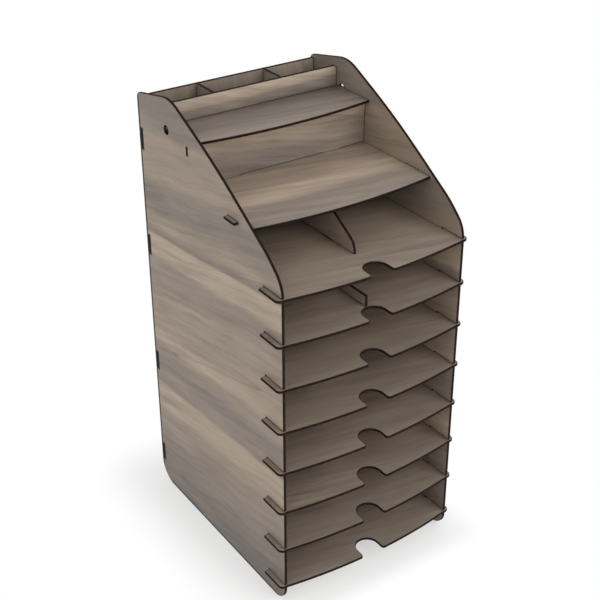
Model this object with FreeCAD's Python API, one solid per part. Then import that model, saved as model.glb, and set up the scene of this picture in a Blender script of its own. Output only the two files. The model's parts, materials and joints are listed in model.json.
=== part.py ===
"""Desktop paper sorter built from flat laser-cut boards that lock together with tabs and slots.

Two side panels and a back panel carry eight level boards. The six lower ones are loose trays that
slide out at the front. Above them stand a shelf with two bays, a display shelf, a small compartment
under a hinged lid and a pen box along the back.

Frame: millimetres, X across, Y from front to back, Z up from the floor. The origin lies on the
floor under the centre of the whole width and depth.
"""
import FreeCAD, Part
import math
import os

# Boards and play
board = 3.0                 # thickness of every board
seat_gap = 0.1              # play round a fixed tab in its slot
slide_gap = 0.3             # play beside a board that slides or turns
top_play = 0.2              # play above a tab in its slot
notch_play = 1.0            # play above a level board in its open notches
pivot_gap = 0.1             # play between a pivot tab's corners and its hole
same_point = 1e-6           # outline points closer than this are one

# Case
inner_width = 237.0         # between the side panels
case_depth = 298.0          # side panels, front edge to rear edge
foot_height = 24.0          # floor to the underside of the lowest tray
level_pitch = 55.0          # from one level board to the next
tray_count = 6              # loose trays, from the lowest level up

# Outline of the side panels
brow_rise = 18.0            # end of the upright front edge, above the top shelf's underside
shoulder_back = 27.0        # where the steep shoulder meets the long slope, behind the front edge
shoulder_drop = 12.7        # the same place, below the display shelf's underside
slope_back = 128.0          # where the slope bends gently back, behind the front edge
slope_drop = 3.6            # the same place, below the lid's underside
peak_inset = 76.0           # highest corner, ahead of the rear edge
peak_rise = 41.7            # the same corner, above the lid's underside
rear_rise = 26.0            # rear top corner, above the lid's underside
brow_radius = 34.0
shoulder_radius = 120.0
slope_radius = 900.0
peak_radius = 50.0
rear_top_radius = 8.0
front_foot_radius = 22.0
rear_foot_radius = 28.5

# Level boards
edge_bow = 10.0             # how far a front edge bows out at its middle
shelf_lead = 1.0            # a shelf's front edge ahead of the side panels, at its ends
ear_reach = 6.0             # ears that stand out of the side panels
ear_length = 35.5
ear_radius = 6.0
thumb_width = 29.0          # notch for taking out the papers
thumb_reach = 27.0          # notch, from the middle of the front edge to its round end
thumb_flare = 3.5           # rounding at the mouth of the notch
rear_tab_length = 30.0
rear_tab_spot = 70.0        # tabs of boards across the case, left and right of the middle

# Back panel
rear_web = 4.0              # side panels behind the back panel
back_bottom = 15.0          # lower edge above the floor
back_rise = 23.2            # upper edge above the lid's underside
back_tab_length = 23.0
back_tab_levels = (0, 3, 6, 8)                # the levels that its side tabs are measured from
back_tab_rises = (18.5, -2.5, -1.5, 26.0)     # middle of each side tab, above its level

# Display shelf
display_front = 60.0        # ends of its front edge, behind the side panels' front edges
display_tab_setback = 22.0  # side tabs, behind the ends of its front edge
display_tab_length = 21.0
display_tab_reach = 5.0     # side tabs, out of the side panels

# Lid and the compartment under it
lid_depth = 64.0
lid_gap = 2.0               # from the lid to the pen box
lid_lip = 8.0               # lid ahead of the compartment's front, at its ends
pivot_setback = 11.0        # pivot ahead of the pen box
pivot_hole = 10.0           # diameter
front_tab_height = 10.0     # side tabs of the compartment's front
front_tab_drop = 3.5        # their upper edge, below the lid

# Pen box
pen_box_depth = 46.0
pen_front_rise = 27.2       # front wall, above the lid's underside
pen_front_radius = 4.5
pen_divider_spot = 46.0     # dividers, left and right of the middle
pen_tab_length = 25.0

# Centre dividers
lower_divider_front = 17.0  # behind the side panels' front edges
lower_lip_height = 13.5     # low front part of the lower divider, above its shelf
lower_lip_length = 52.0
lower_lip_radius = 20.0     # curve from the low part up to the top shelf
upper_divider_front = 40.0
upper_divider_rise = 15.0   # where its front edge starts to lean back, above the shelf's underside
upper_divider_lean = 31.0   # degrees, slope of its front edge
upper_divider_radius = 18.0
divider_tab_length = 25.0
lower_tab_spots = (80.0, 200.0)    # up into the top shelf, ahead of the back panel
lower_foot_spots = (60.0, 200.0)   # down into the divided shelf
upper_tab_spots = (30.0, 80.0)     # up into the display shelf
upper_foot_spots = (30.0, 150.0)   # down into the top shelf

# Planes that the pieces share
half_width = inner_width / 2
case_side = half_width + board
case_front = -(case_depth - shelf_lead - edge_bow) / 2
case_rear = case_front + case_depth
back_rear = case_rear - rear_web
back_face = back_rear - board
divided_level = tray_count
top_level = tray_count + 1
display_level = tray_count + 2
lid_level = tray_count + 3


def level(index):
    """Underside of the board at a level, counted up from the lowest tray."""
    return foot_height + index * level_pitch


pen_front_rear = back_face - pen_box_depth
pen_front_face = pen_front_rear - board
lid_rear = pen_front_face - lid_gap
lid_front = lid_rear - lid_depth
front_face = lid_front + lid_lip
pivot_y = pen_front_face - pivot_setback
pivot_z = level(lid_level) + board / 2
display_edge = case_front + display_front
display_top = level(display_level) + board
case_top = level(lid_level) + back_rise


# Building blocks

def span(middle, length):
    """Both ends of a length laid about its middle."""
    return (middle - length / 2, middle + length / 2)


def widened(ends, gap):
    """A length with a gap added at both ends."""
    return (ends[0] - gap, ends[1] + gap)


def block(across, deep, high):
    """Upright block between two X, two Y and two Z values."""
    corner = FreeCAD.Vector(across[0], deep[0], high[0])
    return Part.makeBox(across[1] - across[0], deep[1] - deep[0], high[1] - high[0], corner)


def direction(start, end):
    """Unit vector from one point to another."""
    return (end - start).normalize()


def outline(corners):
    """Closed face through flat points, each a (point, radius) corner rounded to its radius."""
    rounds = []
    for index, (corner, radius) in enumerate(corners):
        back = direction(corner, corners[index - 1][0])
        ahead = direction(corner, corners[(index + 1) % len(corners)][0])
        half_angle = back.getAngle(ahead) / 2
        reach = radius / math.tan(half_angle)
        inward = (back + ahead).normalize() if radius else back
        middle = corner + inward * (radius / math.sin(half_angle) - radius)
        rounds.append((corner + back * reach, middle, corner + ahead * reach, radius))
    edges = []
    for index, (start, middle, end, radius) in enumerate(rounds):
        last_end = rounds[index - 1][2]
        if last_end.distanceToPoint(start) > same_point:
            edges.append(Part.LineSegment(last_end, start).toShape())
        if radius:
            edges.append(Part.Arc(start, middle, end).toShape())
    return Part.Face(Part.Wire(edges))


def upright_board(x, corners):
    """Board that stands front to back: (y, z, radius) corners, thickness in +X from x."""
    face = outline([(FreeCAD.Vector(x, y, z), radius) for y, z, radius in corners])
    return face.extrude(FreeCAD.Vector(board, 0, 0))


def cross_board(y, corners):
    """Board that stands across: (x, z, radius) corners, thickness in +Y from y."""
    face = outline([(FreeCAD.Vector(x, y, z), radius) for x, z, radius in corners])
    return face.extrude(FreeCAD.Vector(0, board, 0))


def level_board(z, corners):
    """Board that lies flat: (x, y, radius) corners, thickness in +Z from z."""
    face = outline([(FreeCAD.Vector(x, y, z), radius) for x, y, radius in corners])
    return face.extrude(FreeCAD.Vector(0, 0, board))


def bowed_board(z, half, edge_y, rear_y):
    """Flat board whose front edge, at edge_y at its ends, bows out at the middle."""
    apex = edge_y - edge_bow
    radius = (half ** 2 + edge_bow ** 2) / (2 * edge_bow)
    disc = Part.makeCylinder(radius, board, FreeCAD.Vector(0, apex + radius, z))
    return block((-half, half), (apex, rear_y), (z, z + board)).common(disc)


def on_both_sides(spot):
    """A distance from the middle, as the two X values it stands for."""
    return (-spot, spot)


def rear_tabs(z):
    """Tabs of a level board through the back panel."""
    return [block(span(x, rear_tab_length), (back_face, back_rear), (z, z + board))
            for x in on_both_sides(rear_tab_spot)]


def rear_slots(z):
    """Slots in the back panel for a level board's tabs, which rest on the slots' lower edges."""
    return [block(widened(span(x, rear_tab_length), seat_gap), (back_face, back_rear),
                  (z, z + board + top_play))
            for x in on_both_sides(rear_tab_spot)]


def across_tabs(face_y):
    """Tabs of a board that stands across, down through the display shelf."""
    return [block(span(x, rear_tab_length), (face_y, face_y + board), (level(display_level), display_top))
            for x in on_both_sides(rear_tab_spot)]


def across_slots(face_y):
    """Slots in the display shelf for those tabs."""
    return [block(widened(span(x, rear_tab_length), seat_gap), widened((face_y, face_y + board), seat_gap),
                  (level(display_level), display_top))
            for x in on_both_sides(rear_tab_spot)]


def divider_tabs(x, z, spots, length):
    """Tabs of an upright divider through a level board, at spots ahead of the back panel."""
    return [block((x, x + board), span(back_face - spot, length), (z, z + board)) for spot in spots]


def divider_slots(x, z, spots, length):
    """Slots in a level board for a divider's tabs."""
    return [block(widened((x, x + board), seat_gap), widened(span(back_face - spot, length), seat_gap),
                  (z, z + board))
            for spot in spots]


def divider_rear_tab(x, z_middle, length):
    """Tab of an upright divider through the back panel."""
    return block((x, x + board), (back_face, back_rear), span(z_middle, length))


def divider_rear_slot(x, z_middle, length):
    """Slot in the back panel for a divider's rear tab."""
    return block(widened((x, x + board), seat_gap), (back_face, back_rear),
                 widened(span(z_middle, length), seat_gap))


# Side panels

def back_tab_heights():
    """Lower and upper ends of the back panel's side tabs."""
    return [span(level(index) + rise, back_tab_length)
            for index, rise in zip(back_tab_levels, back_tab_rises)]


def side_panel(x):
    """Side panel with open notches for the shelves and slots for what is fixed between the sides."""
    panel = upright_board(x, (
        (case_front, 0, front_foot_radius),
        (case_rear, 0, rear_foot_radius),
        (case_rear, level(lid_level) + rear_rise, rear_top_radius),
        (case_rear - peak_inset, level(lid_level) + peak_rise, peak_radius),
        (case_front + slope_back, level(lid_level) - slope_drop, slope_radius),
        (case_front + shoulder_back, level(display_level) - shoulder_drop, shoulder_radius),
        (case_front, level(top_level) + brow_rise, brow_radius)))
    through = (x, x + board)
    ear_end = case_front - shelf_lead + ear_length
    cuts = [block(through, (case_front, ear_end + seat_gap),
                  (level(index), level(index) + board + notch_play))
            for index in range(top_level + 1)]
    cuts += [block(through, widened((back_face, back_rear), seat_gap), widened(heights, seat_gap))
             for heights in back_tab_heights()]
    cuts.append(block(through, widened(display_tab_ends(), seat_gap),
                      (level(display_level), display_top + top_play)))
    cuts.append(block(through, widened((front_face, front_face + board), seat_gap),
                      widened(front_tab_ends(), seat_gap)))
    cuts.append(Part.makeCylinder(pivot_hole / 2, board, FreeCAD.Vector(x, pivot_y, pivot_z),
                                  FreeCAD.Vector(1, 0, 0)))
    return panel.cut(cuts)


# Back panel

def back_panel():
    """Panel between the sides, with side tabs and slots for the boards that end at it."""
    panel = cross_board(back_face, (
        (-half_width, back_bottom, 0),
        (half_width, back_bottom, 0),
        (half_width, case_top, 0),
        (-half_width, case_top, 0)))
    tabs = [block(ends, (back_face, back_rear), heights)
            for heights in back_tab_heights()
            for ends in ((-case_side, -half_width), (half_width, case_side))]
    cuts = []
    for index in range(display_level + 1):
        cuts += rear_slots(level(index))
    cuts.append(divider_rear_slot(-board / 2, *lower_rear_tab()))
    cuts.append(divider_rear_slot(-board / 2, *upper_rear_tab()))
    for spot in on_both_sides(pen_divider_spot):
        cuts.append(divider_rear_slot(spot - board / 2, *pen_rear_tab()))
    return panel.fuse(tabs).cut(cuts).removeSplitter()


# Level boards

def ear(side):
    """Outline corners of a shelf's ear on the left (-1) or right (1)."""
    front_y = case_front - shelf_lead
    inner = side * (half_width - slide_gap)
    outer = side * (case_side + ear_reach)
    return ((inner, front_y, 0), (outer, front_y, ear_radius),
            (outer, front_y + ear_length, 0), (inner, front_y + ear_length, 0))


def thumb_notch(z):
    """Round-ended notch in the middle of a front edge, flared at its mouth."""
    mouth_y = case_front - shelf_lead - edge_bow
    half_mouth = thumb_width / 2
    flare = min(thumb_flare, thumb_reach - half_mouth - seat_gap)
    past = half_mouth + 2 * flare
    return level_board(z, (
        (-past, mouth_y - board, 0),
        (past, mouth_y - board, 0),
        (past, mouth_y + thumb_lift(half_mouth + flare), 0),
        (half_mouth, mouth_y + thumb_lift(half_mouth + flare), flare),
        (half_mouth, mouth_y + thumb_reach, half_mouth),
        (-half_mouth, mouth_y + thumb_reach, half_mouth),
        (-half_mouth, mouth_y + thumb_lift(half_mouth + flare), flare),
        (-past, mouth_y + thumb_lift(half_mouth + flare), 0)))


def thumb_lift(x):
    """How far a bowed front edge has drawn back at a distance from its middle."""
    radius = (half_width ** 2 + edge_bow ** 2) / (2 * edge_bow)
    return radius - math.sqrt(radius ** 2 - x ** 2)


def shelf(index, side_gap):
    """Board with ears, thumb notch and rear tabs; side_gap is its play beside the side panels."""
    z = level(index)
    body = bowed_board(z, half_width - side_gap, case_front - shelf_lead, back_face)
    ears = [level_board(z, ear(side)) for side in (-1, 1)]
    return body.fuse(ears + rear_tabs(z)).cut(thumb_notch(z)).removeSplitter()


def divided_shelf():
    """Fixed shelf under the lower centre divider."""
    slots = divider_slots(-board / 2, level(divided_level), lower_foot_spots, divider_tab_length)
    return shelf(divided_level, 0).cut(slots)


def top_shelf():
    """Fixed shelf between the two centre dividers, which lock into it from below and above."""
    slots = divider_slots(-board / 2, level(top_level), lower_tab_spots + upper_foot_spots,
                          divider_tab_length)
    return shelf(top_level, 0).cut(slots)


def display_tab_ends():
    """Front and rear ends of the display shelf's side tabs."""
    start = display_edge + display_tab_setback
    return (start, start + display_tab_length)


def display_shelf():
    """Upper shelf: it also floors the lidded compartment and the pen box."""
    z = level(display_level)
    reach = case_side + display_tab_reach
    tabs = [block(ends, display_tab_ends(), (z, display_top))
            for ends in ((-reach, -half_width), (half_width, reach))]
    slots = across_slots(front_face) + across_slots(pen_front_face)
    slots += divider_slots(-board / 2, z, upper_tab_spots, divider_tab_length)
    for spot in on_both_sides(pen_divider_spot):
        slots += divider_slots(spot - board / 2, z, (pen_box_depth / 2,), pen_tab_length)
    body = bowed_board(z, half_width, display_edge, back_face)
    return body.fuse(tabs + rear_tabs(z)).cut(slots).removeSplitter()


# Lidded compartment

def pivot_tab_ends():
    """Front and rear ends of the lid's pivot tabs, whose corners turn just inside their holes."""
    half_length = math.sqrt((pivot_hole / 2 - pivot_gap) ** 2 - (board / 2) ** 2)
    return (pivot_y - half_length, pivot_y + half_length)


def compartment_lid():
    """Bowed lid that turns on a tab at each end and rests on the compartment's front."""
    z = level(lid_level)
    half = half_width - slide_gap
    tabs = [block(ends, pivot_tab_ends(), (z, z + board))
            for ends in ((-case_side, -half), (half, case_side))]
    return bowed_board(z, half, lid_front, lid_rear).fuse(tabs).removeSplitter()


def front_tab_ends():
    """Lower and upper ends of the side tabs of the compartment's front."""
    top = level(lid_level) - front_tab_drop
    return (top - front_tab_height, top)


def compartment_front():
    """Upright board under the lid's front edge."""
    body = block((-half_width, half_width), (front_face, front_face + board),
                 (display_top, level(lid_level)))
    tabs = [block(ends, (front_face, front_face + board), front_tab_ends())
            for ends in ((-case_side, -half_width), (half_width, case_side))]
    return body.fuse(tabs + across_tabs(front_face)).removeSplitter()


# Pen box

def pen_box_front():
    """Front wall of the pen box, with rounded upper corners."""
    top = level(lid_level) + pen_front_rise
    body = cross_board(pen_front_face, (
        (-half_width, display_top, 0),
        (half_width, display_top, 0),
        (half_width, top, pen_front_radius),
        (-half_width, top, pen_front_radius)))
    return body.fuse(across_tabs(pen_front_face)).removeSplitter()


def pen_rear_tab():
    """Middle height and length of a pen divider's rear tab."""
    return ((display_top + case_top) / 2, pen_tab_length)


def pen_divider(spot):
    """Divider from the pen box's front wall to the back panel."""
    x = spot - board / 2
    body = block((x, x + board), (pen_front_rear, back_face), (display_top, case_top))
    tabs = divider_tabs(x, level(display_level), (pen_box_depth / 2,), pen_tab_length)
    tabs.append(divider_rear_tab(x, *pen_rear_tab()))
    return body.fuse(tabs).removeSplitter()


# Centre dividers

def lower_rear_tab():
    """Middle height and length of the lower divider's rear tab."""
    return ((level(divided_level) + board + level(top_level)) / 2, divider_tab_length)


def upper_rear_tab():
    """Middle height and length of the upper divider's rear tab."""
    return ((level(top_level) + board + level(display_level)) / 2, divider_tab_length)


def lower_centre_divider():
    """Divider between the divided shelf and the top shelf; its front part is low."""
    x = -board / 2
    floor_z = level(divided_level) + board
    roof_z = level(top_level)
    front_y = case_front + lower_divider_front
    step_y = front_y + lower_lip_length
    lip_z = floor_z + lower_lip_height
    body = upright_board(x, (
        (front_y, floor_z, 0),
        (back_face, floor_z, 0),
        (back_face, roof_z, 0),
        (step_y, roof_z, 0),
        (step_y, lip_z, min(lower_lip_radius, roof_z - lip_z)),
        (front_y, lip_z, 0)))
    tabs = divider_tabs(x, level(divided_level), lower_foot_spots, divider_tab_length)
    tabs += divider_tabs(x, roof_z, lower_tab_spots, divider_tab_length)
    tabs.append(divider_rear_tab(x, *lower_rear_tab()))
    return body.fuse(tabs).removeSplitter()


def upper_centre_divider():
    """Divider between the top shelf and the display shelf; its front edge curves back and up."""
    x = -board / 2
    floor_z = level(top_level) + board
    roof_z = level(display_level)
    front_y = case_front + upper_divider_front
    corner_z = level(top_level) + upper_divider_rise
    lean_y = front_y + (roof_z - corner_z) / math.tan(math.radians(upper_divider_lean))
    body = upright_board(x, (
        (front_y, floor_z, 0),
        (back_face, floor_z, 0),
        (back_face, roof_z, 0),
        (lean_y, roof_z, 0),
        (front_y, corner_z, upper_divider_radius)))
    tabs = divider_tabs(x, level(top_level), upper_foot_spots, divider_tab_length)
    tabs += divider_tabs(x, roof_z, upper_tab_spots, divider_tab_length)
    tabs.append(divider_rear_tab(x, *upper_rear_tab()))
    return body.fuse(tabs).removeSplitter()


# Assembly

def pieces():
    """Every board of the sorter, by name."""
    boards = {
        "left_side_panel": side_panel(-case_side),
        "right_side_panel": side_panel(half_width),
        "back_panel": back_panel(),
        "divided_shelf": divided_shelf(),
        "top_shelf": top_shelf(),
        "display_shelf": display_shelf(),
        "compartment_lid": compartment_lid(),
        "compartment_front": compartment_front(),
        "pen_box_front": pen_box_front(),
        "left_pen_divider": pen_divider(-pen_divider_spot),
        "right_pen_divider": pen_divider(pen_divider_spot),
        "lower_centre_divider": lower_centre_divider(),
        "upper_centre_divider": upper_centre_divider(),
    }
    for number in range(tray_count):
        boards[f"tray_{number + 1}"] = shelf(tray_count - 1 - number, slide_gap)
    return boards


os.makedirs("parts", exist_ok=True)
for name, solid in pieces().items():
    solid.exportStep(f"parts/{name}.step")
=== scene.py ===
import json
import math

import bmesh
import bpy
from mathutils import Matrix, Vector


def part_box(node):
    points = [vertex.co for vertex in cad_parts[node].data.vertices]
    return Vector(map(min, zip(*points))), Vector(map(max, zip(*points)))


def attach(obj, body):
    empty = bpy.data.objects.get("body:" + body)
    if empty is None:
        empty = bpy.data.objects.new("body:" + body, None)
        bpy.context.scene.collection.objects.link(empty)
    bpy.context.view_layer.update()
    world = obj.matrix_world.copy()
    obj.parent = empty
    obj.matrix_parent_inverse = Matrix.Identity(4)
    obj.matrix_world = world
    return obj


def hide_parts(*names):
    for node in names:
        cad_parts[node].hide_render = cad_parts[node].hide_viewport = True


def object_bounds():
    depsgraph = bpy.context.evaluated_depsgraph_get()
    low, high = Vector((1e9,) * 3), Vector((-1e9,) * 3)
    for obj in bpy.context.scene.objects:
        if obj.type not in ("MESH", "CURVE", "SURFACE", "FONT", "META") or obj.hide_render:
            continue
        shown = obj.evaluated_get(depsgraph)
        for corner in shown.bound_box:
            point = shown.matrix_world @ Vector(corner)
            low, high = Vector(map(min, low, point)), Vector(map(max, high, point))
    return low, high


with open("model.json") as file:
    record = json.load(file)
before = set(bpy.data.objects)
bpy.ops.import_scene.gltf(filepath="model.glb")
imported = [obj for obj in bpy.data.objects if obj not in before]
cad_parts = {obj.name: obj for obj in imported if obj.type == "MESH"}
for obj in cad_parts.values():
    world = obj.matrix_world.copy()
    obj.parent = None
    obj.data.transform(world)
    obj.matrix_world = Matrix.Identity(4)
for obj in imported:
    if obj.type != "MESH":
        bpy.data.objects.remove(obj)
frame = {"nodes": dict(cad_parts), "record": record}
cad_low, cad_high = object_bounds()


# ---------------------------------------------------------------------------------------------
# Side panels
# Two upright fibreboard panels, 3 mm thick, faced with a printed grey walnut foil. The laser that
# cuts them leaves the edges black-brown and a narrow scorched line along them on both faces. Their
# notches, slots and round holes hold the shelves, the trays, the back panel and the compartment.

X, Y, Z = range(3)

UMBER = (88, 75, 64)
ASH = (114, 104, 96)
SMOKE = (126, 115, 106)
TAUPE = (137, 124, 112)
WALNUT = (149, 133, 118)
OLIVE = (160, 148, 131)
SAND = (166, 149, 131)
# CHAR and EMBER colour the charred cuts, and also the painted shade in gaps, in slots and along the foot.
CHAR = (20, 15, 12)
EMBER = (62, 43, 30)


def shade(colour):
    """Linear colour of an 8-bit one."""
    parts = [part / 255 for part in colour]
    return tuple(p / 12.92 if p <= 0.04045 else ((p + 0.055) / 1.055) ** 2.4 for p in parts) + (1.0,)


class Level:
    """A shader socket that takes part in sums: each operator adds its Math node."""

    def __init__(self, tree, socket):
        self.tree = tree
        self.socket = socket

    def math(self, operation, other=0.0):
        return node(self.tree, "Math", {"operation": operation}, {0: self, 1: other})

    def __add__(self, other):
        return self.math("ADD", other)

    def __sub__(self, other):
        return self.math("SUBTRACT", other)

    def __rsub__(self, other):
        return node(self.tree, "Math", {"operation": "SUBTRACT"}, {0: other, 1: self})

    def __mul__(self, other):
        return self.math("MULTIPLY", other)

    def __pow__(self, other):
        return self.math("POWER", other)

    __radd__ = __add__
    __rmul__ = __mul__


def set_sockets(tree, made, sockets):
    """Links a node's sockets, by place or name, where the value is a Level, and otherwise sets them."""
    for place, value in sockets.items():
        if isinstance(value, Level):
            tree.links.new(value.socket, made.inputs[place])
        else:
            made.inputs[place].default_value = value


def set_stops(ramp, stops):
    """Gives a colour ramp its (place, colour) stops."""
    ramp.interpolation = "EASE"
    while len(ramp.elements) < len(stops):
        ramp.elements.new(0.5)
    for element, (place, colour) in zip(ramp.elements, stops):
        element.position = place
        element.color = shade(colour)


def node(tree, kind, settings, sockets, output=0):
    """Adds a shader node: first its settings, a ramp's stops among them, then its sockets."""
    made = tree.nodes.new("ShaderNode" + kind)
    for key, setting in settings.items():
        if key == "stops":
            set_stops(made.color_ramp, setting)
        else:
            setattr(made, key, setting)
    set_sockets(tree, made, sockets)
    return Level(tree, made.outputs[output])


def stepped(level, low, high):
    """0 below low, 1 above high, smooth between."""
    return node(level.tree, "MapRange", {"interpolation_type": "SMOOTHSTEP"}, {0: level, 1: low, 2: high})


def blended(factor, first, second):
    """Colour that goes from the first to the second as the factor goes from 0 to 1."""
    first, second = (tone if isinstance(tone, Level) else shade(tone) for tone in (first, second))
    return node(factor.tree, "Mix", {"data_type": "RGBA"}, {0: factor, 6: first, 7: second}, output=2)


def cloud(tree, x, y, z, detail=2.0, roughness=0.5):
    """Noise from 0 to 1 at a point whose coordinates are already counted in grains of it."""
    place = node(tree, "CombineXYZ", {}, {0: x, 1: y, 2: z})
    sockets = {"Vector": place, "Scale": 1.0, "Detail": detail, "Roughness": roughness}
    return node(tree, "TexNoise", {}, sockets)


def coordinates(tree):
    """Object coordinates as three numbers, in metres."""
    place = node(tree, "TexCoord", {}, {}, output="Object")
    return [node(tree, "SeparateXYZ", {}, {0: place}, output=axis) for axis in (X, Y, Z)]


def new_material(name):
    """Empty material with nodes, and its tree."""
    material = bpy.data.materials.new(name)
    material.use_nodes = True
    return material, material.node_tree


BOARD_IOR = 1.45


def surface(tree, colour, roughness, bump, relief, sheen):
    """Closes a material: a plain surface with this colour, roughness, bump and strength of reflection."""
    normal = node(tree, "Bump", {}, {"Strength": 1.0, "Distance": relief, "Height": bump})
    shader = tree.nodes["Principled BSDF"]
    set_sockets(tree, shader, {"Base Color": colour, "Roughness": roughness, "Normal": normal})
    set_sockets(tree, shader, {"IOR": BOARD_IOR, "Specular IOR Level": sheen})


# Each feature of the print: how many grains of it lie in a metre along the board and across it,
# which layer of the noise it comes from, and how finely it is broken up.
SWAY = (8.0, 11.0, 0.0, 2.0)
RIPPLE = (31.0, 42.0, 5.0, 2.0)
LIVELY_SPOTS = (5.0, 9.0, 7.0, 1.0)
STREAKS = (6.0, 90.0, 11.0, 4.0)
THREADS = (16.0, 420.0, 14.0, 2.0)
FIBRES = (40.0, 950.0, 17.0, 2.0)
BLOTS = (10.0, 26.0, 19.0, 2.0)
VEINS = (1.4, 26.0, 23.0, 0.0)
VEINED_SPOTS = (7.0, 14.0, 29.0, 1.0)
FLICKER = (260.0, 260.0, 0.0, 2.0)
STREAK_BREAKS = 0.62        # roughness of the streaks' noise
LAYERS = 9.0                # layers of the noise in a metre through the board

BAND_SWAY = 0.007           # how far, in metres, sway and ripple carry the bands
BAND_RIPPLE = 0.004
SLANT = 0.20                # how fast the streaks fall along the grain
STREAK_SWAY = 0.018         # how far sway and ripple carry the streaks
STREAK_RIPPLE = 0.005

STREAK_SHADE = 0.5          # how much each feature lightens and darkens the print
LIVELY_SHADE = 0.7          # what lively spots add to that of the streaks
THREAD_SHADE = 0.32
FIBRE_SHADE = 0.3
BLOT_SHADE = 0.35

LIVELY_STEP = (-0.12, 0.12)         # a STEP is where something starts to show and where it shows in full
OLIVE_STEP = (0.0, 0.3)
OLIVE_STRENGTH = 0.2
VEIN_STEP = (0.0, 0.011)
VEINED_STEP = (0.0, 0.1)
VEIN_STRENGTH = 0.4
SCORCH_AND_SHADE_STEP = (0.0016, 0.0038)       # the scorch round a heavy cut, and the painted shade in gaps and slots, end between these distances
BROWN_STEP = (0.12, 0.75)
BROWN_STRENGTH = 0.5
BROWN_FLICKER = 0.5
BLACK_STEP = (0.42, 1.0)
BLACK_FLICKER = 0.3

FOIL_SHEEN = 0.5
FOIL_ROUGHNESS = 0.56
FIBRE_ROUGHNESS = 0.12
BLACK_ROUGHNESS = 0.2
FOIL_RELIEF = 0.00004
FIBRE_RELIEF = 0.6          # shares of fibres and streaks in the relief
STREAK_RELIEF = 0.4


def add_scorch_and_shade(char, run, rise, rectangles):
    """Raises char in and near rectangles of (middle along, middle across, half sizes, strength): scorch
    round cuts, and painted shade in gaps, in slots and along the foot.
    """
    for middle_run, middle_rise, half_run, half_rise, strength in rectangles:
        beside = (run - middle_run).math("ABSOLUTE") - half_run
        above = (rise - middle_rise).math("ABSOLUTE") - half_rise
        darkening = 1.0 - stepped(beside.math("MAXIMUM", above), *SCORCH_AND_SHADE_STEP)
        char = char.math("MAXIMUM", darkening * strength)
    return char


def walnut_print(name, along, across, seed, tones, lift=0.0, tilt=0.07, fan=0.0, scorch_and_shade_rectangles=()):
    """Printed walnut foil: bands in (place, colour) tones, slanting streaks, fibres, scorched line, painted
    shade.
    along and across are the axes of the grain; the bands' places count metres across it from lift.
    tilt is how fast the bands fall along the grain, and fan how much faster one metre further up.
    The last argument lists the rectangles that scorch and painted shade come from."""
    material, tree = new_material(name)
    place = coordinates(tree)
    run, rise = place[along], place[across]
    third = X + Y + Z - along - across
    through = place[third] * LAYERS + seed

    def grown(feature, height, roughness=0.5):
        """A feature of the print as noise about 0."""
        grains_along, grains_across, layer, detail = feature
        noise = cloud(tree, run * grains_along, height * grains_across, through + layer, detail, roughness)
        return noise - 0.5

    sway = grown(SWAY, rise)
    ripple = grown(RIPPLE, rise)
    grain = rise + run * (rise * fan + tilt) + sway * BAND_SWAY + ripple * BAND_RIPPLE
    slant = rise + run * SLANT + sway * STREAK_SWAY + ripple * STREAK_RIPPLE

    lively = stepped(grown(LIVELY_SPOTS, rise), *LIVELY_STEP)
    streak = grown(STREAKS, slant, STREAK_BREAKS)
    thread = grown(THREADS, slant)
    fibre = grown(FIBRES, grain)
    blot = grown(BLOTS, rise)
    vein = 1.0 - stepped(grown(VEINS, slant).math("ABSOLUTE"), *VEIN_STEP)
    veined = stepped(grown(VEINED_SPOTS, rise), *VEINED_STEP)

    colour = node(tree, "ValToRGB", {"stops": tones}, {0: grain - lift})
    colour = blended(stepped(blot, *OLIVE_STEP) * OLIVE_STRENGTH, colour, OLIVE)
    colour = blended(vein * veined * VEIN_STRENGTH, colour, UMBER)
    light = 1.0 + streak * (STREAK_SHADE + lively * LIVELY_SHADE)
    light = light + thread * THREAD_SHADE + fibre * FIBRE_SHADE + blot * BLOT_SHADE
    colour = node(tree, "VectorMath", {"operation": "SCALE"}, {0: colour, "Scale": light})

    char = node(tree, "Attribute", {"attribute_name": "char"}, {}, output="Fac")
    # From here char also holds the painted shade of the listed rectangles, coloured like scorch.
    char = add_scorch_and_shade(char, run, rise, scorch_and_shade_rectangles)
    flicker = grown(FLICKER, rise)
    brown = stepped(char + flicker * BROWN_FLICKER, *BROWN_STEP)
    black = stepped(char + flicker * BLACK_FLICKER, *BLACK_STEP)
    colour = blended(brown * BROWN_STRENGTH, colour, EMBER)
    colour = blended(black, colour, CHAR)
    roughness = FOIL_ROUGHNESS + fibre * FIBRE_ROUGHNESS + black * BLACK_ROUGHNESS
    bump = fibre * FIBRE_RELIEF + streak * STREAK_RELIEF
    surface(tree, colour, roughness, bump, FOIL_RELIEF, FOIL_SHEEN)
    return material


EDGE_STRETCH = 0.08         # the edge's stripes run through the board, so they are drawn out that way
STRIPES = 900.0             # stripes and smouldered spots in a metre of edge
SMOULDERED_SPOTS = 70.0
STRIPE_BREAKS = 0.6
STRIPE_STEP = (0.35, 0.75)
STRIPE_STRENGTH = 0.5
SMOULDERED_STEP = (0.45, 0.7)
SMOULDERED_STRENGTH = 0.35
EDGE_SHEEN = 0.12
EDGE_ROUGHNESS = 0.7
STRIPE_ROUGHNESS = 0.2
EDGE_RELIEF = 0.00012


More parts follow.
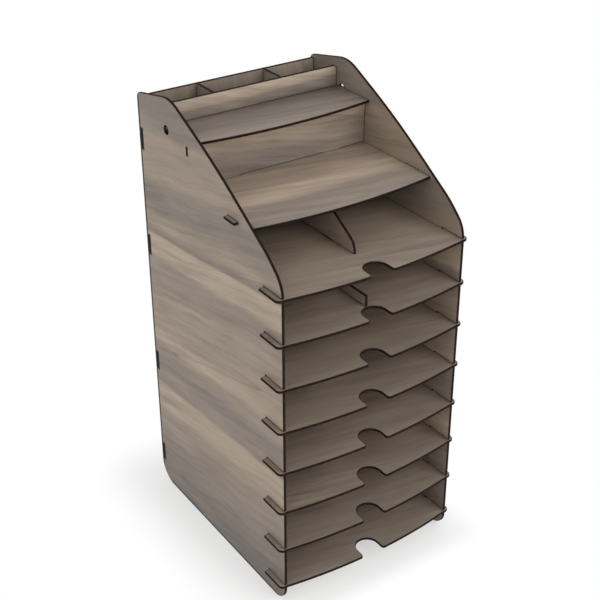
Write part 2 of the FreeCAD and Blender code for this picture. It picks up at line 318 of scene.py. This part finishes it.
def burnt_edge(name, thickness_axis, seed):
    """Laser-cut edge: charred fibreboard with fine stripes that run through the board's thickness."""
    material, tree = new_material(name)
    place = coordinates(tree)
    place[thickness_axis] = place[thickness_axis] * EDGE_STRETCH
    x, y, z = place
    stripe = cloud(tree, x * STRIPES + seed, y * STRIPES, z * STRIPES, roughness=STRIPE_BREAKS)
    smoulder = cloud(tree, x * SMOULDERED_SPOTS, y * SMOULDERED_SPOTS, z * SMOULDERED_SPOTS + seed)
    colour = blended(stepped(stripe, *STRIPE_STEP) * STRIPE_STRENGTH, CHAR, EMBER)
    colour = blended(stepped(smoulder, *SMOULDERED_STEP) * SMOULDERED_STRENGTH, colour, CHAR)
    surface(tree, colour, EDGE_ROUGHNESS + stripe * STRIPE_ROUGHNESS, stripe, EDGE_RELIEF, EDGE_SHEEN)
    return material


MERGE = 0.00001             # corners closer than this become one
SLIVER = 0.0002             # edges shorter than this are closed up
STRAIGHT = math.radians(0.5)        # faces that meet at less than this angle become one
FLAT = 0.999                # a face this square to the board's thickness belongs to its broad sides
EASE = 0.00022              # rounding where a face meets a cut edge
SCORCH = 0.0017             # width of the scorched line on the faces
SMOOTH_BELOW = math.radians(40)

body_of = {name: body for body, names in frame["record"]["behaviour"]["bodies"].items() for name in names}


def dressed_board(name, thickness_axis, print_material, edge_material):
    """Finished board in place of a CAD one: eased rims, and a char value of 1 at every cut, 0 inside."""
    board = bmesh.new()
    board.from_mesh(frame["nodes"][name].data)
    bmesh.ops.remove_doubles(board, verts=board.verts, dist=MERGE)
    bmesh.ops.dissolve_degenerate(board, dist=SLIVER, edges=board.edges)
    bmesh.ops.dissolve_limit(board, angle_limit=STRAIGHT, verts=board.verts, edges=board.edges)

    def broad(face):
        return abs(face.normal[thickness_axis]) > FLAT

    rims = [edge for edge in board.edges if len({broad(face) for face in edge.link_faces}) == 2]
    bmesh.ops.bevel(board, geom=rims, offset=EASE, segments=2, profile=0.5, affect="EDGES", material=-1)
    sides = [face for face in board.faces if broad(face)]
    for face in board.faces:
        face.smooth = True
        face.material_index = 0 if broad(face) else 1
    bmesh.ops.inset_region(board, faces=sides, thickness=SCORCH - EASE, use_even_offset=True)
    char = board.verts.layers.float.new("char")
    for vert in board.verts:
        vert[char] = 1.0
    for face in sides:
        for vert in face.verts:
            vert[char] = 0.0
    mesh = bpy.data.meshes.new(name + "_board")
    board.to_mesh(mesh)
    board.free()
    mesh.set_sharp_from_angle(angle=SMOOTH_BELOW)
    mesh.materials.append(print_material)
    mesh.materials.append(edge_material)
    piece = bpy.data.objects.new(name + "_board", mesh)
    bpy.context.scene.collection.objects.link(piece)
    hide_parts(name)
    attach(piece, body_of[name])


SLOT_HEIGHTS = (0.0425, 0.1865, 0.3525, 0.490)      # middles of the four rear slots
SLOT_INSET = 0.0055         # from the rear edge to the slots' middle line
SLOT_HALF_WIDTH = 0.0016
SLOT_HALF_LENGTH = 0.0116
# the slots' dark marks: scorch at the cut, and painted shade in the slots' depth
SLOT_SCORCH_AND_SHADE = 1.0
REAR_RIM = 0.0014           # scorch comes from a strip this wide at the rear edge, and painted contact shade from one this wide at the bottom edge
BOTTOM_SHADE_RIM = 0.0008
REAR_SMOKE = 0.85
BOTTOM_SHADE = 0.8

case_middle = (cad_low + cad_high) / 2
case_half = (cad_high - cad_low) / 2
slot_line = cad_high[Y] - SLOT_INSET
# Scorch round the four rear slots, with painted shade in their depth, and along the rear edge.
side_scorch_and_shade = [(slot_line, height, SLOT_HALF_WIDTH, SLOT_HALF_LENGTH, SLOT_SCORCH_AND_SHADE) for height in SLOT_HEIGHTS]
side_scorch_and_shade.append((cad_high[Y], case_middle[Z], REAR_RIM, case_half[Z], REAR_SMOKE))
# Painted contact shade along the foot, where the panel stands on the floor.
side_scorch_and_shade.append((case_middle[Y], cad_low[Z], case_half[Y], BOTTOM_SHADE_RIM, BOTTOM_SHADE))

side_tones = (
    (0.02, ASH), (0.05, SMOKE), (0.11, TAUPE), (0.13, WALNUT), (0.138, SAND), (0.166, SAND), (0.172, SMOKE),
    (0.185, TAUPE), (0.2, SMOKE), (0.23, WALNUT), (0.237, SAND), (0.26, WALNUT), (0.31, WALNUT),
    (0.33, TAUPE), (0.353, TAUPE), (0.36, SAND), (0.387, SAND), (0.3885, UMBER), (0.391, SMOKE),
    (0.403, WALNUT), (0.435, SMOKE), (0.45, SMOKE), (0.47, WALNUT), (0.515, WALNUT), (0.527, SMOKE),
)
side_edge = burnt_edge("side_edge", X, seed=1.0)
for side, seed in (("left", 3.0), ("right", 8.0)):
    side_print = walnut_print(side + "_side_print", Y, Z, seed, side_tones, fan=0.1, scorch_and_shade_rectangles=side_scorch_and_shade)
    dressed_board(side + "_side_panel", X, side_print, side_edge)


# ---------------------------------------------------------------------------------------------
# Back panel
# One board of the same foil-faced fibreboard, held by tabs in slots near the side panels' rear
# edges. The rear tabs of all level boards and dividers pass through its slots and end flush.

back_tones = ((0.0, SMOKE), (0.3, WALNUT), (0.5, TAUPE), (0.75, OLIVE), (1.0, SMOKE))
back_print = walnut_print("back_print", Z, X, seed=21.0, tones=back_tones, lift=-0.5)
dressed_board("back_panel", Y, back_print, burnt_edge("back_edge", Y, seed=2.0))


# ---------------------------------------------------------------------------------------------
# Level boards
# Eight shelves with a bowed front edge, a thumb notch and two ears. The upper two are fixed; the
# six trays below them are loose. All are cut from sheets whose grain runs across the case.

NEXT_SHEET = 7.0            # from one board's seed to the next one's

level_edge = burnt_edge("level_edge", Z, seed=3.0)
level_boards = ["top_shelf", "divided_shelf"] + [f"tray_{number}" for number in range(1, 7)]
shelf_tones = (
    (0.0, SMOKE), (0.08, WALNUT), (0.16, TAUPE), (0.24, WALNUT), (0.4, ASH), (0.6, WALNUT), (1.0, SMOKE),
)
for count, name in enumerate(level_boards):
    seed = 31.0 + NEXT_SHEET * count
    shelf_print = walnut_print(name + "_print", X, Y, seed, shelf_tones, lift=-0.3)
    dressed_board(name, Z, shelf_print, level_edge)


# ---------------------------------------------------------------------------------------------
# Centre dividers
# Two upright boards, one above the other, that part the bays under the top shelf and under the
# display shelf. Their tabs lock into the boards above and below.

divider_tones = ((0.0, SMOKE), (0.4, WALNUT), (0.7, ASH), (1.0, WALNUT))
for count, name in enumerate(("lower_centre_divider", "upper_centre_divider")):
    seed = 91.0 + NEXT_SHEET * count
    divider_print = walnut_print(name + "_print", Y, Z, seed, divider_tones)
    dressed_board(name, X, divider_print, side_edge)


# ---------------------------------------------------------------------------------------------
# Display shelf
# The wide shelf under the lid, with a tab through each side panel. It runs on to the back panel
# as the floor of the lidded compartment and of the pen box.

display_tones = (
    (0.01, SMOKE), (0.035, TAUPE), (0.05, TAUPE), (0.07, SAND), (0.082, SAND), (0.095, WALNUT),
    (0.125, WALNUT), (0.15, TAUPE), (0.2, WALNUT), (0.26, SMOKE),
)
display_print = walnut_print("display_print", X, Y, seed=111.0, tones=display_tones, lift=-0.1, tilt=0.02)
dressed_board("display_shelf", Z, display_print, level_edge)


# ---------------------------------------------------------------------------------------------
# Lidded compartment
# An upright front board, tabbed into the side panels, and a bowed lid that rests on it and turns
# on flat tabs in the round holes of the side panels.

cross_edge = burnt_edge("cross_edge", Y, seed=4.0)
front_tones = ((0.01, SMOKE), (0.02, SMOKE), (0.035, TAUPE), (0.045, WALNUT), (0.052, SAND))
front_print = walnut_print(
    "compartment_front_print", X, Z, seed=121.0, tones=front_tones, lift=0.46, tilt=0.03)
dressed_board("compartment_front", Y, front_print, cross_edge)

LID_GAP_SHADE = 0.8             # painted shade in the gap between the lid and the pen box, along the whole rear edge

lid_low, lid_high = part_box("compartment_lid")
# A strip of painted shade along the lid's rear edge, where it meets the pen box.
lid_gap_shade = [((lid_low[X] + lid_high[X]) / 2, lid_high[Y], (lid_high[X] - lid_low[X]) / 2, 0.0, LID_GAP_SHADE)]
# The lid darkens towards its rear edge: painted shade where it meets the pen box.
lid_tones = ((0.0, TAUPE), (0.042, ASH), (0.1, UMBER))
lid_print = walnut_print(
    "lid_print", X, Y, seed=131.0, tones=lid_tones, lift=0.02, tilt=0.09, scorch_and_shade_rectangles=lid_gap_shade)
dressed_board("compartment_lid", Z, lid_print, level_edge)


# ---------------------------------------------------------------------------------------------
# Pen box
# A front wall with rounded corners across the case, tabbed into the display shelf, and two short
# dividers that run from it to the back panel. The wall is palest along its upper edge.

PALE = (182, 167, 151)

# Darker towards its foot: partly print, partly painted shade where the wall meets the display shelf.
pen_tones = (
    (0.017, UMBER), (0.021, ASH), (0.026, SMOKE), (0.03, SMOKE), (0.033, TAUPE), (0.036, SAND),
    (0.046, PALE),
)
pen_print = walnut_print("pen_box_print", X, Z, seed=141.0, tones=pen_tones, lift=0.5, tilt=-0.02)
dressed_board("pen_box_front", Y, pen_print, cross_edge)
for count, name in enumerate(("left_pen_divider", "right_pen_divider")):
    seed = 151.0 + NEXT_SHEET * count
    pen_divider_print = walnut_print(name + "_print", Y, Z, seed, divider_tones)
    dressed_board(name, X, pen_divider_print, side_edge)


# ---------------------------------------------------------------------------------------------
# Studio
# A pale floor that runs to the horizon under a white sky, and two large soft lamps. Seen directly,
# the floor fades to plain white away from the sorter and keeps part of its shadow beside it.

FLOOR_REACH = 6.0
FLOOR_TONE = 0.86
FLOOR_ROUGHNESS = 0.55
SHADOW_LEFT = 0.47          # share of the floor's own shading that is seen beside the sorter
SHADOW_REACH = 0.095        # how far from its foot that share dies out
SHADOW_NARROWED = 2.5       # how much sooner it does so on the sides that face the key lamp
SKY = 0.8                   # strength of the sky as a light
WHITE = (1.0, 1.0, 1.0, 1.0)


def seen(tree):
    """1 for what the camera sees, directly, in a reflection or through glass, and 0 for light."""
    rays = ("Is Camera Ray", "Is Glossy Ray", "Is Transmission Ray")
    straight, glossy, through = (node(tree, "LightPath", {}, {}, output=ray) for ray in rays)
    return straight.math("MAXIMUM", glossy).math("MAXIMUM", through)


floor_mesh = bmesh.new()
bmesh.ops.create_grid(floor_mesh, x_segments=1, y_segments=1, size=FLOOR_REACH)
floor_data = bpy.data.meshes.new("studio_floor")
floor_mesh.to_mesh(floor_data)
floor_mesh.free()
floor = bpy.data.objects.new("studio_floor", floor_data)
bpy.context.scene.collection.objects.link(floor)

floor_material, floor_tree = new_material("studio_floor")
floor_place = coordinates(floor_tree)
to_left, to_right = cad_low[X] - floor_place[X], (floor_place[X] - cad_high[X]) * SHADOW_NARROWED
to_front, to_rear = (cad_low[Y] - floor_place[Y]) * SHADOW_NARROWED, floor_place[Y] - cad_high[Y]
beside = to_left.math("MAXIMUM", to_right).math("MAXIMUM", 0.0)
before = to_front.math("MAXIMUM", to_rear).math("MAXIMUM", 0.0)
away = (beside * beside + before * before) ** 0.5
whitened = seen(floor_tree) * (1.0 - SHADOW_LEFT * (1.0 - stepped(away, 0.0, SHADOW_REACH)))

floor_shader = floor_tree.nodes["Principled BSDF"]
floor_tone = (FLOOR_TONE, FLOOR_TONE, FLOOR_TONE, 1.0)
set_sockets(floor_tree, floor_shader, {"Base Color": floor_tone, "Roughness": FLOOR_ROUGHNESS})
floor_shading = Level(floor_tree, floor_shader.outputs[0])
floor_white = node(floor_tree, "Emission", {}, {"Color": WHITE, "Strength": 1.0})
floor_mix = node(floor_tree, "MixShader", {}, {0: whitened, 1: floor_shading, 2: floor_white})
set_sockets(floor_tree, floor_tree.nodes["Material Output"], {"Surface": floor_mix})
floor.data.materials.append(floor_material)

world = bpy.data.worlds.new("studio")
world.use_nodes = True
bpy.context.scene.world = world
world_tree = world.node_tree
sky = world_tree.nodes["Background"]
set_sockets(world_tree, sky, {"Color": WHITE, "Strength": SKY})
sky_light = Level(world_tree, sky.outputs[0])
sky_white = node(world_tree, "Background", {}, {"Color": WHITE, "Strength": 1.0})
sky_mix = node(world_tree, "MixShader", {}, {0: seen(world_tree), 1: sky_light, 2: sky_white})
set_sockets(world_tree, world_tree.nodes["World Output"], {"Surface": sky_mix})

LAMP_SIZE = 1.6
KEY_PLACE = (0.7, -2.1, 1.7)
KEY_POWER = 26.0
SIDE_PLACE = (-2.2, -0.9, 1.1)
SIDE_POWER = 6.0
LIT_SPOT = (0.0, 0.0, 0.28)         # the point on the sorter that both lamps face


def soft_lamp(name, place, power):
    """Large square lamp that faces the sorter."""
    lamp = bpy.data.lights.new(name, "AREA")
    lamp.shape = "SQUARE"
    lamp.size = LAMP_SIZE
    lamp.energy = power
    holder = bpy.data.objects.new(name, lamp)
    holder.location = place
    holder.rotation_euler = (Vector(LIT_SPOT) - Vector(place)).to_track_quat("-Z", "Y").to_euler()
    bpy.context.scene.collection.objects.link(holder)


soft_lamp("key_lamp", KEY_PLACE, KEY_POWER)
soft_lamp("side_lamp", SIDE_PLACE, SIDE_POWER)


# ---------------------------------------------------------------------------------------------
# Camera
# It stands to the left of the front and looks down at the sorter through a 72 mm lens. Its small
# shifts set the sorter in the frame.

YAW = math.radians(34.147)
PITCH = math.radians(29.350)
ROLL = math.radians(-0.1225)
CAMERA_PLACE = (-0.7005, -1.0330, 1.0199)
LENS = 72.38
SENSOR = 36.0
SHIFT_X = -0.00276
SHIFT_Y = -0.01527

camera_data = bpy.data.cameras.new("camera")
camera_data.sensor_width = SENSOR
camera_data.lens = LENS
camera_data.shift_x = SHIFT_X
camera_data.shift_y = SHIFT_Y
camera = bpy.data.objects.new("camera", camera_data)
turned = Matrix.Rotation(-YAW, 3, "Z")
tipped = Matrix.Rotation(math.pi / 2 - PITCH, 3, "X")
rolled = Matrix.Rotation(ROLL, 3, "Z")
camera.rotation_euler = (turned @ tipped @ rolled).to_euler()
camera.location = CAMERA_PLACE
bpy.context.scene.collection.objects.link(camera)
bpy.context.scene.camera = camera
bpy.context.scene.view_settings.view_transform = "Standard"
